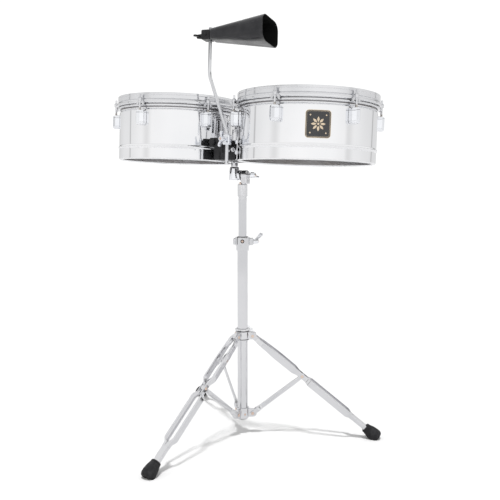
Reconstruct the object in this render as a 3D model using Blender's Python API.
"""Timbales: two steel drums on a bracket, a cowbell on a bent rod, and a folding tripod stand.

X runs along the pair of drums (large drum at +X), -Y is the front, Z is up and the feet
rest on z = 0. Every length is in metres and every angle in degrees unless it says radians.
"""
import bpy
import bmesh
from math import asin, atan2, cos, pi, radians, sin, sqrt
from mathutils import Matrix, Vector

# ---------------------------------------------------------------- driving dimensions
GAP = 0.0004                       # clearance between touching solids

POLE_Y = 0.0615                    # the pole stands behind the middle of the footprint

# drums, measured down from the top of the counter hoop
SMALL_R, LARGE_R = 0.1651, 0.1778  # 13 inch and 14 inch shells
DRUM_SPACING = 0.392
DRUM_DEPTH = 0.1714
SHELL_WALL = 0.0013
BEAD_Z, BEAD_OUT = -0.1370, 0.0024
SHOULDER_Z, SHOULDER_IN = -0.0405, 0.0022
HEAD_Z = -0.0060
FLESH_TOP, FLESH_BOTTOM = -0.0280, -0.0345
LUG_COUNT = 6
LUG_START = 28                     # degrees from +X to the first lug
DRUM_STEPS = 40                    # facets round each drum
LUG_SIZE = (0.020, 0.026, 0.0370)  # radial, tangential, vertical
LUG_TOP = -0.0465
ROD_OUT = 0.0125                   # tension rod axis outside the shell
ROD_R = 0.0027
BADGE_ANGLE = 300
BADGE_SIZE = (0.060, 0.0645)
BADGE_Z = -0.0885

# head: everything above the tilter, which sags a little from the stand's axis
TILT_Z = 0.722                     # height of the tilter's axis
HEAD_LEAN = (-1.2, 1.45)           # degrees about X, then about Y
HEAD_SHIFT = (-0.0102, -0.0043)    # middle of the drum pair from the tilter
HOOP_TOP = 0.927 - TILT_Z
POST_XY = (-0.0225, -0.0050)
POST_R = 0.0095
POST_TOP = 0.845 - TILT_Z
BLOCK_BOTTOM, BLOCK_TOP, BOSS_TOP = 0.758 - TILT_Z, 0.792 - TILT_Z, 0.815 - TILT_Z
BLOCK_FRONT, BLOCK_BACK = -0.101, 0.048
CHEEK = (-0.0330, -0.0450)         # the left cheek is straight from this y to the front
BRACKET_THICK = 0.0024
BRACKET_HIDDEN = 0.028             # how far a plate reaches behind the narrowest gap
SMALL_FLANGE, LARGE_FLANGE = -16.0, 38.5     # degrees round each shell to the plate's front edge
BRACKET_OFF = BEAD_OUT + GAP       # the plates stand off the shells, clear of the bead

# cowbell and its rod, from the tilter's axis in the leaning head
ROD_FOOT = (0.0183, -0.1250, 0.0246)
ROD_BEND_LOW, ROD_BEND_HIGH, BELL_ROD_TOP = 0.1023, 0.2436, 0.3610
ROD_SHIFT = (-0.0438, -0.0227)     # sideways step of the rod between its bends
BELL_ROD_R = 0.0044
BELL_TURN, BELL_RISE = 7.0, 1.0    # degrees about Z, and mouth upwards
BELL_Z = 0.3408
BELL_LENGTH, BELL_WALL = 0.150, 0.0018
BELL_HEEL, BELL_MOUTH = (0.048, 0.028), (0.1243, 0.0645)
BELL_OVAL = 1.6                    # how much further its corners reach across than up
CLAMP_Z = 0.0850

# stand
LOWER_TUBE_R, LOWER_TUBE_WALL = 0.0143, 0.0015
UPPER_TUBE_R, UPPER_TUBE_WALL = 0.0112, 0.0014
LOWER_TUBE = (0.046, 0.5215)
UPPER_TUBE = (0.330, 0.6960)
HEIGHT_CLAMP = (0.5165, 0.5285, 0.5230, 0.5540)  # bottom, step, tube end, top
LEG_ANGLES = (19.7, 139.7, 259.7)
PIVOT_R = 0.029
UPPER_PIVOT_Z, LOWER_PIVOT_Z = 0.279, 0.059
LINK = 0.1763                      # from either collar's pivot to the middle pivot
LEG_REACH = 0.4120                 # from the upper pivot to the end of the leg's steel
PIN_R = 0.0026
EAR_HALF = 0.0058                  # half the thickness of a collar's ear
BRACE_THICK = 0.0038
RAIL_OUT, RAIL_THICK = 0.0143, 0.0046   # middle of a leg's rail from the leg's plane
MIDDLE_Z = (UPPER_PIVOT_Z + LOWER_PIVOT_Z) / 2
MIDDLE_R = PIVOT_R + sqrt(LINK ** 2 - (UPPER_PIVOT_Z - MIDDLE_Z) ** 2)
SPLAY = atan2(MIDDLE_R - PIVOT_R, UPPER_PIVOT_Z - MIDDLE_Z)   # radians from vertical
COLLAR_BOLT_ANGLE = 79.7
HEIGHT_BOLT_ANGLE = 25.0
COLLAR_BOLT_Z, HEIGHT_BOLT_Z = 0.2890, 0.5415

CHROME = ((0.80, 0.81, 0.83), 0.08, 1.0)
MATERIALS = {
    "chrome": CHROME,
    "drum_chrome": ((0.84, 0.85, 0.87), 0.05, 1.0),
    "head_film": ((0.90, 0.90, 0.88), 0.45, 0.0),
    "badge_enamel": ((0.03, 0.03, 0.03), 0.30, 0.0),
    "bell_black": ((0.05, 0.05, 0.055), 0.42, 0.2),
    "bracket_black": ((0.035, 0.035, 0.04), 0.40, 0.1),
    "rubber": ((0.035, 0.035, 0.038), 0.75, 0.0),
}


# ---------------------------------------------------------------- mesh helpers
def turned(profile, steps=24):
    """Revolve (radius, z) points about Z. A profile with no point on the axis is a closed loop."""
    bm = bmesh.new()
    rings = []
    for radius, z in profile:
        if radius == 0.0:
            rings.append([bm.verts.new((0, 0, z))] * steps)
        else:
            turns = [2 * pi * i / steps for i in range(steps)]
            rings.append([bm.verts.new((radius * cos(a), radius * sin(a), z)) for a in turns])
    count = len(rings)
    closed = all(radius > 0 for radius, z in profile)
    for k in range(count if closed else count - 1):
        low, high = rings[k], rings[(k + 1) % count]
        for i in range(steps):
            j = (i + 1) % steps
            corners = []
            for corner in (low[i], low[j], high[j], high[i]):
                if corner not in corners:
                    corners.append(corner)
            if len(corners) > 2:
                bm.faces.new(corners)
    return bm


def lofted(loops):
    """Skin a list of loops with equal counts, and cap both ends."""
    bm = bmesh.new()
    rings = [[bm.verts.new(point) for point in loop] for loop in loops]
    count = len(rings[0])
    for low, high in zip(rings, rings[1:]):
        for i in range(count):
            j = (i + 1) % count
            bm.faces.new((low[i], low[j], high[j], high[i]))
    bm.faces.new(list(reversed(rings[0])))
    bm.faces.new(rings[-1])
    return bm


def prism(outline, low, high):
    """Extrude an (x, y) outline from z = low to z = high."""
    return lofted([[(x, y, z) for x, y in outline] for z in (low, high)])


def box(size, centre=(0, 0, 0)):
    half_x, half_y, half_z = (length / 2 for length in size)
    x, y, z = centre
    outline = [(x - half_x, y - half_y), (x + half_x, y - half_y),
               (x + half_x, y + half_y), (x - half_x, y + half_y)]
    return prism(outline, z - half_z, z + half_z)


def moved(bm, matrix):
    bmesh.ops.transform(bm, matrix=matrix, verts=bm.verts)
    return bm


def chamfered(bm, width, min_angle=30, segments=1):
    edges = [e for e in bm.edges if e.calc_face_angle(0) > radians(min_angle)]
    bmesh.ops.bevel(bm, geom=edges, offset=width, offset_type="OFFSET", segments=segments,
                    profile=0.5, affect="EDGES", clamp_overlap=True)
    return bm


def aim(start, end):
    """Matrix that carries +Z at the origin onto the line from start to end."""
    direction = Vector(end) - Vector(start)
    return Matrix.Translation(start) @ direction.to_track_quat("Z", "Y").to_matrix().to_4x4()


def rod(start, end, radius, steps=12, end_radius=None):
    length = (Vector(end) - Vector(start)).length
    tip = radius if end_radius is None else end_radius
    profile = [(0.0, 0.0), (radius, 0.0), (tip, length), (0.0, length)]
    return moved(turned(profile, steps), aim(start, end))


def swept(points, radius, steps=12):
    """Round bar along a path in space; each ring lies in the plane that halves its bend."""
    points = [Vector(p) for p in points]
    side = Vector((0, 1, 0))
    loops = []
    for i, point in enumerate(points):
        before = (point - points[max(i - 1, 0)]).normalized()
        after = (points[min(i + 1, len(points) - 1)] - point).normalized()
        tangent = (before + after).normalized()
        across = side.cross(tangent).normalized()
        other = tangent.cross(across)
        loops.append([point + radius * (cos(2 * pi * k / steps) * across
                                        + sin(2 * pi * k / steps) * other)
                      for k in range(steps)])
    return lofted(loops)


def arc(centre, radius, start, end, steps):
    """Points of an arc in the XY plane, from start to end degrees."""
    turns = [radians(start + (end - start) * i / steps) for i in range(steps + 1)]
    return [(centre[0] + radius * cos(a), centre[1] + radius * sin(a)) for a in turns]


def wing(span, hub_r, hub_length, thick, lever=False, steps=12):
    """Hub along +Z from the origin, with two rounded wings swept forward, or one long one."""
    hub = turned([(0.0, 0.0), (hub_r, 0.0), (hub_r * 0.8, hub_length), (0.0, hub_length)], steps)
    rise = 1.45 if lever else 0.9
    lobe = arc((span / 2 - 0.0055, hub_length * rise), 0.0055, -40, 140, 5)
    right = [(hub_r * 0.4, 0.0012)] + lobe + [(hub_r * 0.4, hub_length * 0.72)]
    left = [(-hub_r * 0.6, hub_length * 0.72), (-hub_r * 0.6, 0.0012)]
    if not lever:
        left = [(-x, y) for x, y in reversed(right)]
    blade = moved(prism(right + left, -thick / 2, thick / 2), Matrix.Rotation(pi / 2, 4, "X"))
    return [hub, blade]


def solid_mesh(name, pieces, cuts=()):
    """One closed mesh: the union of the pieces, less the cuts."""
    tools = []
    for i, bm in enumerate(list(pieces) + list(cuts)):
        bmesh.ops.recalc_face_normals(bm, faces=bm.faces)
        mesh = bpy.data.meshes.new("%s_%d" % (name, i))
        bm.to_mesh(mesh)
        bm.free()
        tool = bpy.data.objects.new(mesh.name, mesh)
        bpy.context.scene.collection.objects.link(tool)
        tools.append(tool)
    base = tools[0]
    for i, tool in enumerate(tools[1:], 1):
        modifier = base.modifiers.new("join", "BOOLEAN")
        modifier.operation = "UNION" if i < len(pieces) else "DIFFERENCE"
        modifier.object = tool
    bpy.context.view_layer.update()
    result = base.evaluated_get(bpy.context.evaluated_depsgraph_get())
    mesh = bpy.data.meshes.new_from_object(result)
    mesh.name = name
    for tool in tools:
        bpy.data.objects.remove(tool)
    mesh.shade_smooth()
    mesh.set_sharp_from_angle(angle=radians(35))
    return mesh


# ---------------------------------------------------------------- scene helpers
def make_materials():
    made = {}
    for name, (colour, roughness, metallic) in MATERIALS.items():
        material = bpy.data.materials.new(name)
        material.use_nodes = True
        shader = material.node_tree.nodes["Principled BSDF"]
        shader.inputs["Base Color"].default_value = (*colour, 1.0)
        shader.inputs["Roughness"].default_value = roughness
        shader.inputs["Metallic"].default_value = metallic
        made[name] = material
    return made


def empty(name, parent=None, location=(0, 0, 0), rotation=(0, 0, 0)):
    """Axis to hang parts on; the rotation is in degrees."""
    item = bpy.data.objects.new(name, None)
    item.empty_display_size = 0.02
    item.location = location
    item.rotation_euler = [radians(angle) for angle in rotation]
    item.parent = parent
    bpy.context.scene.collection.objects.link(item)
    return item


def node(name, mesh, material, parent, location=(0, 0, 0), rotation=(0, 0, 0)):
    """Visible sub-part, placed in its parent's frame; the rotation is in degrees."""
    item = bpy.data.objects.new(name, mesh)
    mesh.materials.clear()
    mesh.materials.append(material)
    item.location = location
    item.rotation_euler = [radians(angle) for angle in rotation]
    item.parent = parent
    bpy.context.scene.collection.objects.link(item)
    return item


# ---------------------------------------------------------------- drums
def shell_mesh(radius, steps=DRUM_STEPS):
    """Open steel cylinder with a shoulder under the hoop, a raised bead and a curled lower edge."""
    top, bottom = HEAD_Z - 0.0018, -DRUM_DEPTH
    neck = radius - SHOULDER_IN
    outer = [(neck, top), (neck, SHOULDER_Z + 0.004), (radius, SHOULDER_Z),
             (radius, BEAD_Z + 0.006), (radius + BEAD_OUT, BEAD_Z + 0.002),
             (radius + BEAD_OUT, BEAD_Z - 0.002), (radius, BEAD_Z - 0.006),
             (radius, bottom + 0.005), (radius - 0.0015, bottom + 0.0012), (radius - 0.005, bottom)]
    inner = [(radius - 0.007, bottom + 0.0015), (radius - SHELL_WALL - 0.002, bottom + 0.006),
             (radius - SHELL_WALL, BEAD_Z), (neck - SHELL_WALL, SHOULDER_Z + 0.004),
             (neck - SHELL_WALL, top)]
    return solid_mesh("shell", [turned(outer + inner, steps)])


def head_mesh(radius, steps=DRUM_STEPS):
    """Drum head: film across the top, collar over the shell and flesh hoop round it."""
    neck = radius - SHOULDER_IN + GAP
    profile = [(0.0, HEAD_Z), (neck - 0.001, HEAD_Z), (neck + 0.001, HEAD_Z - 0.0015),
               (neck + 0.001, FLESH_TOP), (radius + 0.0045, FLESH_TOP),
               (radius + 0.0052, FLESH_TOP - 0.003), (radius + 0.0045, FLESH_BOTTOM),
               (neck, FLESH_BOTTOM), (neck, HEAD_Z - 0.0013), (0.0, HEAD_Z - 0.0013)]
    return solid_mesh("head", [turned(profile, steps)])


def hoop_mesh(radius, steps=DRUM_STEPS):
    """Counter hoop: tall band, groove and rounded lower flange that the claws pull on."""
    inner = radius + 0.0012
    band, flange = radius + 0.0048, radius + 0.0078
    profile = [(inner, -0.0275), (inner, 0.0), (band - 0.001, 0.0), (band, -0.0012),
               (band, -0.0155), (band - 0.0012, -0.0175), (flange - 0.001, -0.0185),
               (flange, -0.0205), (flange, -0.0250), (flange - 0.0016, -0.0275)]
    return solid_mesh("hoop", [turned(profile, steps)])


def lug_mesh():
    """Cast lug block: chamfered column that narrows at both ends, its back at x = 0."""
    depth, width, height = LUG_SIZE
    half = width / 2

    def loop(scale, z):
        side, out = half * scale, depth * (0.86 + 0.14 * scale)
        corner = 0.0060 * scale
        return [(0.0, -side, z), (out - corner, -side, z), (out, -side + corner, z),
                (out, side - corner, z), (out - corner, side, z), (0.0, side, z)]

    loops = [loop(0.68, -height), loop(1.0, -height + 0.0075), loop(1.0, -0.0060), loop(0.74, 0.0)]
    return solid_mesh("lug", [lofted(loops)])


def tension_rod_mesh():
    """Tension rod with its square-drive head, and the claw that it pulls down on the hoop."""
    flange_out = 0.0078 + GAP + 0.0002
    axis = ROD_OUT
    stem = turned([(0.0, LUG_TOP + GAP), (ROD_R, LUG_TOP + GAP), (ROD_R, -0.0205),
                   (0.0038, -0.0205), (0.0038, -0.0160), (0.0050, -0.0160), (0.0050, -0.0135),
                   (0.0038, -0.0100), (0.0, -0.0100)], 8)
    moved(stem, Matrix.Translation((axis, 0, 0)))
    outline = [(0.0, -0.0170), (0.0075, -0.0215), (0.0115, -0.0270), (0.0110, -0.0335),
               (0.0065, -0.0335), (0.0055, -0.0295), (0.0, -0.0255)]
    outline += [(-x, z) for x, z in reversed(outline[1:-1])]
    face = lofted([[(x, y, z) for y, z in outline] for x in (flange_out, axis + 0.0012)])
    return solid_mesh("tension_rod", [face, stem])


def badge_mesh(radius):
    """Rounded plate bent to the shell, as a stack of strips across its height."""
    width, height = BADGE_SIZE
    steps, corner = 10, 0.008
    inner_r = radius + GAP
    loops = []
    for i in range(steps + 1):
        along = -width / 2 + width * i / steps
        inset = max(0.0, abs(along) - (width / 2 - corner))
        drop = corner - sqrt(max(corner ** 2 - inset ** 2, 0.0))
        top, bottom = BADGE_Z + height / 2 - drop, BADGE_Z - height / 2 + drop
        a = along / radius
        loops.append([(r * cos(a), r * sin(a), z) for r, z in
                      ((inner_r, bottom), (inner_r + 0.0016, bottom),
                       (inner_r + 0.0016, top), (inner_r, top))])
    return solid_mesh("badge", [lofted(loops)])


def build_drum(prefix, radius, centre_x, head_axis, looks):
    axis = empty(prefix + "_drum_axis", head_axis, (centre_x, HEAD_SHIFT[1], HOOP_TOP))
    node(prefix + "_shell", shell_mesh(radius), looks["drum_chrome"], axis)
    node(prefix + "_head", head_mesh(radius), looks["head_film"], axis)
    node(prefix + "_hoop", hoop_mesh(radius), looks["drum_chrome"], axis)
    lug, tension_rod = lug_mesh(), tension_rod_mesh()
    for i in range(LUG_COUNT):
        angle = LUG_START + 360 / LUG_COUNT * i
        a = radians(angle)
        back, stem = radius + GAP, radius
        node("%s_lug_%d" % (prefix, i + 1), lug, looks["chrome"], axis,
             (back * cos(a), back * sin(a), LUG_TOP), (0, 0, angle))
        node("%s_tension_rod_%d" % (prefix, i + 1), tension_rod, looks["chrome"], axis,
             (stem * cos(a), stem * sin(a), 0.0), (0, 0, angle))
    return axis


# ---------------------------------------------------------------- bracket between the drums
def drum_centres():
    middle = HEAD_SHIFT[0]
    return middle - DRUM_SPACING / 2, middle + DRUM_SPACING / 2


def block_mesh():
    """Casting between the shells: its two sides follow the drums, and it holds the post."""
    small_x, large_x = drum_centres()
    clear = BRACKET_OFF + BRACKET_THICK + 2 * GAP
    sides = []
    for centre_x, radius, facing in ((large_x, LARGE_R, 180), (small_x, SMALL_R, 0)):
        reach = radius + clear
        sign = 1 if facing == 180 else -1
        front = asin((BLOCK_FRONT - HEAD_SHIFT[1]) / reach) * 180 / pi
        back = asin((BLOCK_BACK - HEAD_SHIFT[1]) / reach) * 180 / pi
        ends = (facing - front, facing - back) if sign > 0 else (back, front)
        sides += arc((centre_x, HEAD_SHIFT[1]), reach, ends[0], ends[1], 8)
    body = chamfered(prism(sides, BLOCK_BOTTOM, BLOCK_TOP), 0.0012, 60)
    boss = turned([(0.0, BLOCK_TOP - 0.004), (0.0121, BLOCK_TOP - 0.004),
                   (0.0121, BOSS_TOP - 0.001), (0.0113, BOSS_TOP), (0.0, BOSS_TOP)], 20)
    moved(boss, Matrix.Translation((*POST_XY, 0)))
    tower_height = BOSS_TOP - BLOCK_TOP + 0.004
    tower = chamfered(box((0.048, 0.026, tower_height),
                          (-0.0240, -0.0890, BOSS_TOP - tower_height / 2)), 0.002, 60)
    eye = rod((-0.0370, -0.1085, 0.0815), (-0.0370, -0.1000, 0.0815), 0.0080, 14)
    bore = rod((*POST_XY, 0.0), (*POST_XY, 0.12), POST_R + GAP, 24)
    notch = box((0.08, 0.08, 0.08), (CHEEK[0] - 0.04, CHEEK[1] - 0.04, BLOCK_TOP - 0.0405))
    return solid_mesh("centre_block", [body, boss, tower, eye], [bore, notch])


def bracket_mesh(radius, front):
    """Plate that fastens a shell to the casting, on spacers, with its front edge at an angle."""
    low, high = BLOCK_BOTTOM + 0.001 - HOOP_TOP, BOSS_TOP - HOOP_TOP
    side = 1 if front > 0 else -1
    hidden = side * BRACKET_HIDDEN / radius * 180 / pi
    face = radius + BRACKET_OFF
    outline = arc((0, 0), face, -hidden, front, 12) + arc((0, 0), face + BRACKET_THICK, front,
                                                         -hidden, 12)
    pieces = [chamfered(prism(outline, low, high), 0.0007, 60)]
    for angle in (-hidden * 0.6, front * 0.45, front - side * 2.6):
        spacer = rod((radius + 2 * GAP, 0, high - 0.012), (face + 0.001, 0, high - 0.012), 0.0056, 10)
        pieces.append(moved(spacer, Matrix.Rotation(radians(angle), 4, "Z")))
    return solid_mesh("bracket", pieces)


def build_head(stand_axis, looks):
    tilt_axis = empty("tilt_axis", stand_axis, (0, 0, TILT_Z))
    head_axis = empty("head_axis", tilt_axis, rotation=(*HEAD_LEAN, 0))
    post_axis = empty("post_axis", head_axis, (*POST_XY, 0))
    post = turned([(0.0, -0.010), (POST_R - 0.001, -0.010), (POST_R, -0.009),
                   (POST_R, POST_TOP - 0.003), (POST_R - 0.003, POST_TOP), (0.0, POST_TOP)], 24)
    node("post", solid_mesh("post", [post]), looks["chrome"], post_axis)
    node("centre_block", block_mesh(), looks["bracket_black"], head_axis)

    cone = turned([(0.0, -0.0130), (0.0138, -0.0130), (0.0148, -0.0110), (0.0128, 0.0190),
                   (0.0118, 0.0200), (0.0, 0.0200)], 24)
    moved(cone, Matrix.Translation((*POST_XY, 0)))
    knuckle = rod((-0.0150, 0, 0), (-0.0022, 0, 0), 0.0138, 24)
    bore = rod((*POST_XY, -0.0105), (*POST_XY, 0.03), POST_R + GAP, 24)
    receiver = solid_mesh("tilter_receiver", [cone, knuckle], [bore])
    node("tilter_receiver", receiver, looks["chrome"], head_axis)

    small_x, large_x = drum_centres()
    small = build_drum("small", SMALL_R, small_x, head_axis, looks)
    large = build_drum("large", LARGE_R, large_x, head_axis, looks)
    node("small_bracket", bracket_mesh(SMALL_R, SMALL_FLANGE), looks["chrome"], small)
    node("large_bracket", bracket_mesh(LARGE_R, LARGE_FLANGE), looks["chrome"], large,
         rotation=(0, 0, 180))
    node("badge", badge_mesh(LARGE_R), looks["badge_enamel"], large, rotation=(0, 0, BADGE_ANGLE))
    return head_axis


# ---------------------------------------------------------------- cowbell
def bell_loop(x, width, height, corner):
    """Rectangle across the bell at x, with corners rounded further across than they are high."""
    across = corner * BELL_OVAL
    half_w, half_h = width / 2 - across, height / 2 - corner
    points = []
    for cx, cz, start in ((half_w, half_h, 0), (-half_w, half_h, 90),
                          (-half_w, -half_h, 180), (half_w, -half_h, 270)):
        points += [(cx + y * BELL_OVAL, cz + z) for y, z in arc((0, 0), corner, start, start + 90, 5)]
    return [(x, y, z) for y, z in points]


def bell_mesh():
    """Tapered box with rounded edges, closed at the heel and open at the mouth."""
    def size(part, wall):
        return [heel + (mouth - heel) * part - 2 * wall
                for heel, mouth in zip(BELL_HEEL, BELL_MOUTH)]

    outer = [bell_loop(0.0, *size(0.0, 0.002), 0.006), bell_loop(0.003, *size(0.02, 0), 0.008),
             bell_loop(BELL_LENGTH, *size(1.0, 0), 0.020)]
    inner = [bell_loop(0.004, *size(0.02, BELL_WALL), 0.0064),
             bell_loop(BELL_LENGTH + 0.01, *size(1.06, BELL_WALL), 0.0192)]
    return solid_mesh("cowbell", [lofted(outer)], [lofted(inner)])


def hole_through(radius):
    return rod((0, 0, -0.05), (0, 0, 0.05), radius, 16)


def build_cowbell(head_axis, looks):
    foot_x, foot_y, foot_z = ROD_FOOT
    clamp_axis = empty("rod_clamp_axis", head_axis, (foot_x, foot_y, CLAMP_Z))
    rod_axis = empty("cowbell_rod_axis", head_axis, ROD_FOOT)
    top_x, top_y = foot_x + ROD_SHIFT[0], foot_y + ROD_SHIFT[1]
    bell_axis = empty("cowbell_axis", head_axis, (top_x, top_y, BELL_Z), (0, 0, BELL_TURN))

    body = chamfered(box((0.0200, 0.0170, 0.0260), (0, -0.001, 0)), 0.0025, 60)
    pin = rod((0, 0.0180, 0), (0, 0.0060, 0), 0.0045, 12)
    stud = rod((0, -0.0080, 0), (0, -0.0230, 0), 0.0035, 10)
    clamp = solid_mesh("rod_clamp", [body, pin, stud], [hole_through(BELL_ROD_R + GAP)])
    node("rod_clamp", clamp, looks["chrome"], clamp_axis)
    nut = solid_mesh("rod_wing_nut", wing(0.040, 0.0075, 0.012, 0.0055))
    node("rod_wing_nut", nut, looks["chrome"], clamp_axis, (0, -0.0235, 0), (90, -79, 0))

    drop = ROD_BEND_LOW - foot_z
    rise = ROD_BEND_HIGH - foot_z
    shift = Vector((*ROD_SHIFT, rise - drop))
    low, high = Vector((0, 0, drop)), Vector((0, 0, drop)) + shift
    ease = shift.normalized() * 0.006
    path = [(0, 0, 0), low - Vector((0, 0, 0.006)), low + ease,
            high - ease, high + Vector((0, 0, 0.006)),
            high + Vector((0, 0, BELL_ROD_TOP - ROD_BEND_HIGH))]
    bar = solid_mesh("cowbell_rod", [swept(path, BELL_ROD_R)])
    node("cowbell_rod", bar, looks["chrome"], rod_axis)

    offset = BELL_ROD_R + 0.0022
    node("cowbell", bell_mesh(), looks["bell_black"], bell_axis, (offset, 0, 0),
         (0, -BELL_RISE, 0))
    body = chamfered(box((0.024, 0.034, 0.024), (-0.0068, 0, 0)), 0.0025, 60)
    stud = rod((-0.0180, 0, -0.001), (-0.0215, 0, -0.001), 0.0035, 10)
    clamp = solid_mesh("bell_clamp", [body, stud], [hole_through(BELL_ROD_R + GAP)])
    node("bell_clamp", clamp, looks["bracket_black"], bell_axis)
    screw = solid_mesh("bell_wing_bolt", wing(0.038, 0.0065, 0.014, 0.0040))
    node("bell_wing_bolt", screw, looks["bracket_black"], bell_axis,
         (-0.0220, 0, -0.001), (90, 0, -90))


# ---------------------------------------------------------------- stand
def tube_mesh(name, radius, wall, span):
    low, high = span
    inner = radius - wall
    return solid_mesh(name, [turned([(radius, high), (radius, low), (inner, low), (inner, high)])])


def pivot_ear(angle, z, barrel_r, low, high, reach):
    """Radial ear with a rounded end round a leg pivot, as a solid and its pin hole."""
    outline = [(barrel_r, low - z), (PIVOT_R, low - z)]
    outline += [(PIVOT_R + x, y) for x, y in arc((0, 0), reach, -55, 55, 5)]
    outline += [(PIVOT_R, high - z), (barrel_r, high - z)]
    stand_up = Matrix.Rotation(pi / 2, 4, "X")
    place = Matrix.Translation((0, 0, z)) @ Matrix.Rotation(radians(angle), 4, "Z") @ stand_up
    plate = moved(prism(outline, -EAR_HALF, EAR_HALF), place)
    hole = moved(rod((PIVOT_R, 0, -0.02), (PIVOT_R, 0, 0.02), PIN_R + GAP, 10), place)
    return plate, hole


def upper_collar_mesh():
    """Sliding collar: barrel, three leg ears, flange ring and the boss of its wing bolt."""
    barrel = turned([(0.0176, 0.2665), (0.0176, 0.2925), (0.0205, 0.2945), (0.0212, 0.2975),
                     (0.0200, 0.2995), (0.0149, 0.2995), (0.0149, 0.2665)])
    ears = [pivot_ear(angle, UPPER_PIVOT_Z, 0.0160, 0.2690, 0.2895, 0.0105)
            for angle in LEG_ANGLES]
    a = radians(COLLAR_BOLT_ANGLE)
    boss = rod((0.0165 * cos(a), 0.0165 * sin(a), COLLAR_BOLT_Z),
               (0.0265 * cos(a), 0.0265 * sin(a), COLLAR_BOLT_Z), 0.0060, 12)
    return solid_mesh("upper_collar", [barrel] + [ear for ear, hole in ears] + [boss],
                      [hole for ear, hole in ears])


def lower_collar_mesh():
    """Fixed collar round the foot of the tube, with an ear for each brace."""
    barrel = turned([(0.0, 0.0405), (0.0130, 0.0405), (0.0176, 0.0455), (0.0176, 0.0740),
                     (0.0147, 0.0740), (0.0147, 0.0455), (0.0, 0.0455)])
    ears = [pivot_ear(angle, LOWER_PIVOT_Z, 0.0160, 0.0480, 0.0700, 0.0110)
            for angle in LEG_ANGLES]
    return solid_mesh("lower_collar", [barrel] + [ear for ear, hole in ears],
                      [hole for ear, hole in ears])


def rail(side, stations):
    """One pressed rail of a leg: (along, offset, width, height) stations, on one side."""
    loops = []
    for along, offset, width, height in stations:
        corner = min(width, height) * 0.28
        y0, y1 = side * offset - width / 2, side * offset + width / 2
        z0, z1 = -height / 2, height / 2
        loops.append([(along, y0 + corner, z0), (along, y1 - corner, z0), (along, y1, z0 + corner),
                      (along, y1, z1 - corner), (along, y1 - corner, z1), (along, y0 + corner, z1),
                      (along, y0, z1 - corner), (along, y0, z0 + corner)])
    return lofted(loops)


def leg_mesh():
    """Leg along +X from its upper pivot: two rails pinched at both pivots and at the foot."""
    top, pinch = EAR_HALF + GAP + 0.0015, 0.0067
    out, strip = RAIL_OUT, RAIL_THICK
    stations = [(-0.0080, top, 0.0030, 0.0120), (-0.0030, top, 0.0030, 0.0150),
                (0.0100, top, 0.0030, 0.0132), (0.0400, out, strip, 0.0150),
                (0.0900, out, strip, 0.0188), (LINK - 0.0330, out, strip, 0.0180),
                (LINK - 0.0120, pinch, 0.0030, 0.0140), (LINK + 0.0130, pinch, 0.0030, 0.0140),
                (LINK + 0.0290, out, strip, 0.0180), (LEG_REACH - 0.0790, out, strip, 0.0180),
                (LEG_REACH - 0.0640, 0.0048, 0.0100, 0.0140), (LEG_REACH, 0.0045, 0.0100, 0.0130)]
    rails = [rail(side, stations) for side in (-1, 1)]
    pins = [rod((along, -out, 0), (along, out, 0), PIN_R, 10)
            for along, out in ((0.0, top + 0.0007), (LINK, pinch + 0.0007))]
    return solid_mesh("leg", rails + pins)


def brace_mesh():
    """Flat brace along +X: forked at the lower collar's pivot, thickened at the middle pivot."""
    fork, gap_half = EAR_HALF + GAP + 0.0013, EAR_HALF + GAP
    half = fork + 0.0012
    body = rail(1, [(-0.0075, 0.0, 2 * half, 0.0120), (0.0170, 0.0, 2 * half, 0.0130),
                    (0.0340, 0.0, BRACE_THICK, 0.0130), (LINK - 0.0340, 0.0, BRACE_THICK, 0.0130),
                    (LINK - 0.0180, 0.0, 0.0088, 0.0115), (LINK + 0.0060, 0.0, 0.0088, 0.0100)])
    slot = box((0.040, 2 * gap_half, 0.04), (-0.0035, 0, 0))
    pin = rod((0, -half - 0.0005, 0), (0, half + 0.0005, 0), PIN_R, 10)
    hole = rod((LINK, -0.02, 0), (LINK, 0.02, 0), PIN_R + GAP, 10)
    forked = solid_bm(solid_mesh("brace_fork", [body], [slot, hole]))
    return solid_mesh("brace", [forked, pin])


def solid_bm(mesh):
    """Turn a finished mesh back into a piece, and drop the mesh."""
    bm = bmesh.new()
    bm.from_mesh(mesh)
    bpy.data.meshes.remove(mesh)
    return bm


def foot_mesh():
    """Rubber boot over the end of a leg, cut flat where it meets the floor."""
    reach = LEG_REACH
    sole_drop = (UPPER_PIVOT_Z - reach * cos(SPLAY))
    boot = turned([(0.0, 0.0), (0.0118, 0.0), (0.0134, 0.0015), (0.0165, 0.0160),
                   (0.0192, 0.0320), (0.0185, 0.0400), (0.0150, 0.0450), (0.0, 0.0460)], 20)
    moved(boot, aim((reach - 0.014, 0, 0), (reach, 0, 0)))
    socket = box((0.0300, 0.0195 + 2 * GAP, 0.0150 + 2 * GAP), (reach - 0.0150 + GAP, 0, 0))
    slope = Matrix.Rotation(pi / 2 - SPLAY, 4, "Y")
    ground = moved(box((0.3, 0.2, 0.1), (0, 0, -0.05)),
                   Matrix.Translation((reach, 0, 0)) @ slope.inverted()
                   @ Matrix.Translation((0, 0, -sole_drop)))
    return solid_mesh("foot", [boot], [socket, ground])


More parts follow.
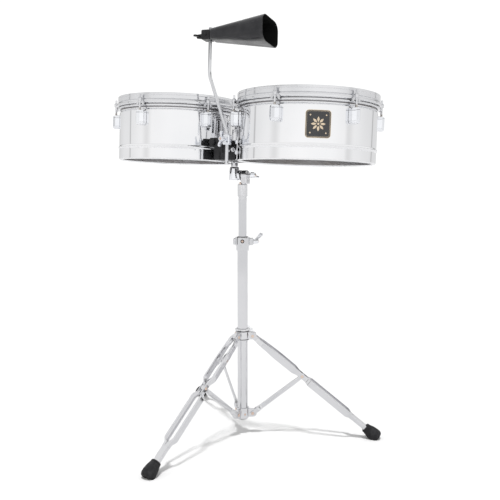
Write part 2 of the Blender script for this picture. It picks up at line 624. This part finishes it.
def build_tripod(stand_axis, looks):
    leg, brace, foot = leg_mesh(), brace_mesh(), foot_mesh()
    slope = 90 - SPLAY * 180 / pi
    for i, angle in enumerate(LEG_ANGLES, 1):
        a = radians(angle)
        x, y = PIVOT_R * cos(a), PIVOT_R * sin(a)
        leg_axis = empty("leg_axis_%d" % i, stand_axis, (x, y, UPPER_PIVOT_Z), (0, slope, angle))
        brace_axis = empty("brace_axis_%d" % i, stand_axis, (x, y, LOWER_PIVOT_Z),
                           (0, -slope, angle))
        empty("middle_axis_%d" % i, leg_axis, (LINK, 0, 0))
        node("leg_%d" % i, leg, looks["chrome"], leg_axis)
        node("foot_%d" % i, foot, looks["rubber"], leg_axis)
        node("brace_%d" % i, brace, looks["chrome"], brace_axis)
    node("upper_collar", upper_collar_mesh(), looks["chrome"], stand_axis)
    node("lower_collar", lower_collar_mesh(), looks["chrome"], stand_axis)
    bolt = solid_mesh("collar_wing_bolt", wing(0.036, 0.0058, 0.014, 0.0035))
    a = radians(COLLAR_BOLT_ANGLE)
    reach = 0.0265 + GAP
    node("collar_wing_bolt", bolt, looks["chrome"], stand_axis,
         (reach * cos(a), reach * sin(a), COLLAR_BOLT_Z), (90, -35, COLLAR_BOLT_ANGLE + 90))


def height_clamp_mesh():
    """Collar on top of the lower tube, wider above, split at the side of its wing bolt."""
    bottom, step, inside, top = HEIGHT_CLAMP
    profile = [(LOWER_TUBE_R + 0.0020, bottom), (0.0178, bottom + 0.003), (0.0178, step),
               (0.0205, step + 0.0045), (0.0205, top - 0.0015), (0.0190, top),
               (UPPER_TUBE_R + 0.0006, top), (UPPER_TUBE_R + 0.0006, inside),
               (LOWER_TUBE_R + GAP, inside), (LOWER_TUBE_R + GAP, bottom)]
    boss = moved(box((0.0120, 0.0160, 0.0200), (0.0235, 0, HEIGHT_BOLT_Z)),
                 Matrix.Rotation(radians(HEIGHT_BOLT_ANGLE), 4, "Z"))
    ear = moved(box((0.0120, 0.0140, 0.0180), (0.0200, 0, HEIGHT_BOLT_Z)),
                Matrix.Rotation(radians(HEIGHT_BOLT_ANGLE + 180), 4, "Z"))
    return solid_mesh("height_clamp", [turned(profile), chamfered(boss, 0.002, 60),
                                       chamfered(ear, 0.002, 60)])


def build_column(stand_axis, looks):
    lower = tube_mesh("lower_tube", LOWER_TUBE_R, LOWER_TUBE_WALL, LOWER_TUBE)
    node("lower_tube", lower, looks["chrome"], stand_axis)
    upper = tube_mesh("upper_tube", UPPER_TUBE_R, UPPER_TUBE_WALL, UPPER_TUBE)
    node("upper_tube", upper, looks["chrome"], stand_axis)
    node("height_clamp", height_clamp_mesh(), looks["chrome"], stand_axis)
    bolt = solid_mesh("height_wing_bolt", wing(0.048, 0.0070, 0.014, 0.0042, lever=True))
    a = radians(HEIGHT_BOLT_ANGLE)
    reach = 0.0295 + GAP
    node("height_wing_bolt", bolt, looks["chrome"], stand_axis,
         (reach * cos(a), reach * sin(a), HEIGHT_BOLT_Z), (90, -80, HEIGHT_BOLT_ANGLE + 90))

    top = TILT_Z - 0.0225
    sleeve = turned([(0.0, top), (0.0115, top), (0.0135, top - 0.002), (0.0135, 0.6660),
                     (0.0128, 0.6650), (UPPER_TUBE_R + GAP, 0.6650),
                     (UPPER_TUBE_R + GAP, 0.6965), (0.0, 0.6965)], 24)
    neck = box((0.0182, 0.0240, 0.0250), (0.0084, 0, TILT_Z - 0.0110))
    knuckle = rod((-0.0008, 0, TILT_Z), (0.0180, 0, TILT_Z), 0.0135, 24)
    bolt = rod((0.0170, 0, TILT_Z), (0.0250, 0, TILT_Z), 0.0040, 12)
    tilter = solid_mesh("tilter_base", [sleeve, neck, knuckle, bolt])
    node("tilter_base", tilter, looks["chrome"], stand_axis)
    nut = solid_mesh("tilter_wing_nut", wing(0.042, 0.0080, 0.014, 0.0042))
    node("tilter_wing_nut", nut, looks["chrome"], stand_axis,
         (0.0254, 0, TILT_Z), (90, 18, 90))


# ---------------------------------------------------------------- assembly
def build():
    for item in list(bpy.data.objects):
        bpy.data.objects.remove(item)
    looks = make_materials()
    stand_axis = empty("stand_axis", None, (0, POLE_Y, 0))
    build_tripod(stand_axis, looks)
    build_column(stand_axis, looks)
    head_axis = build_head(stand_axis, looks)
    build_cowbell(head_axis, looks)


build()
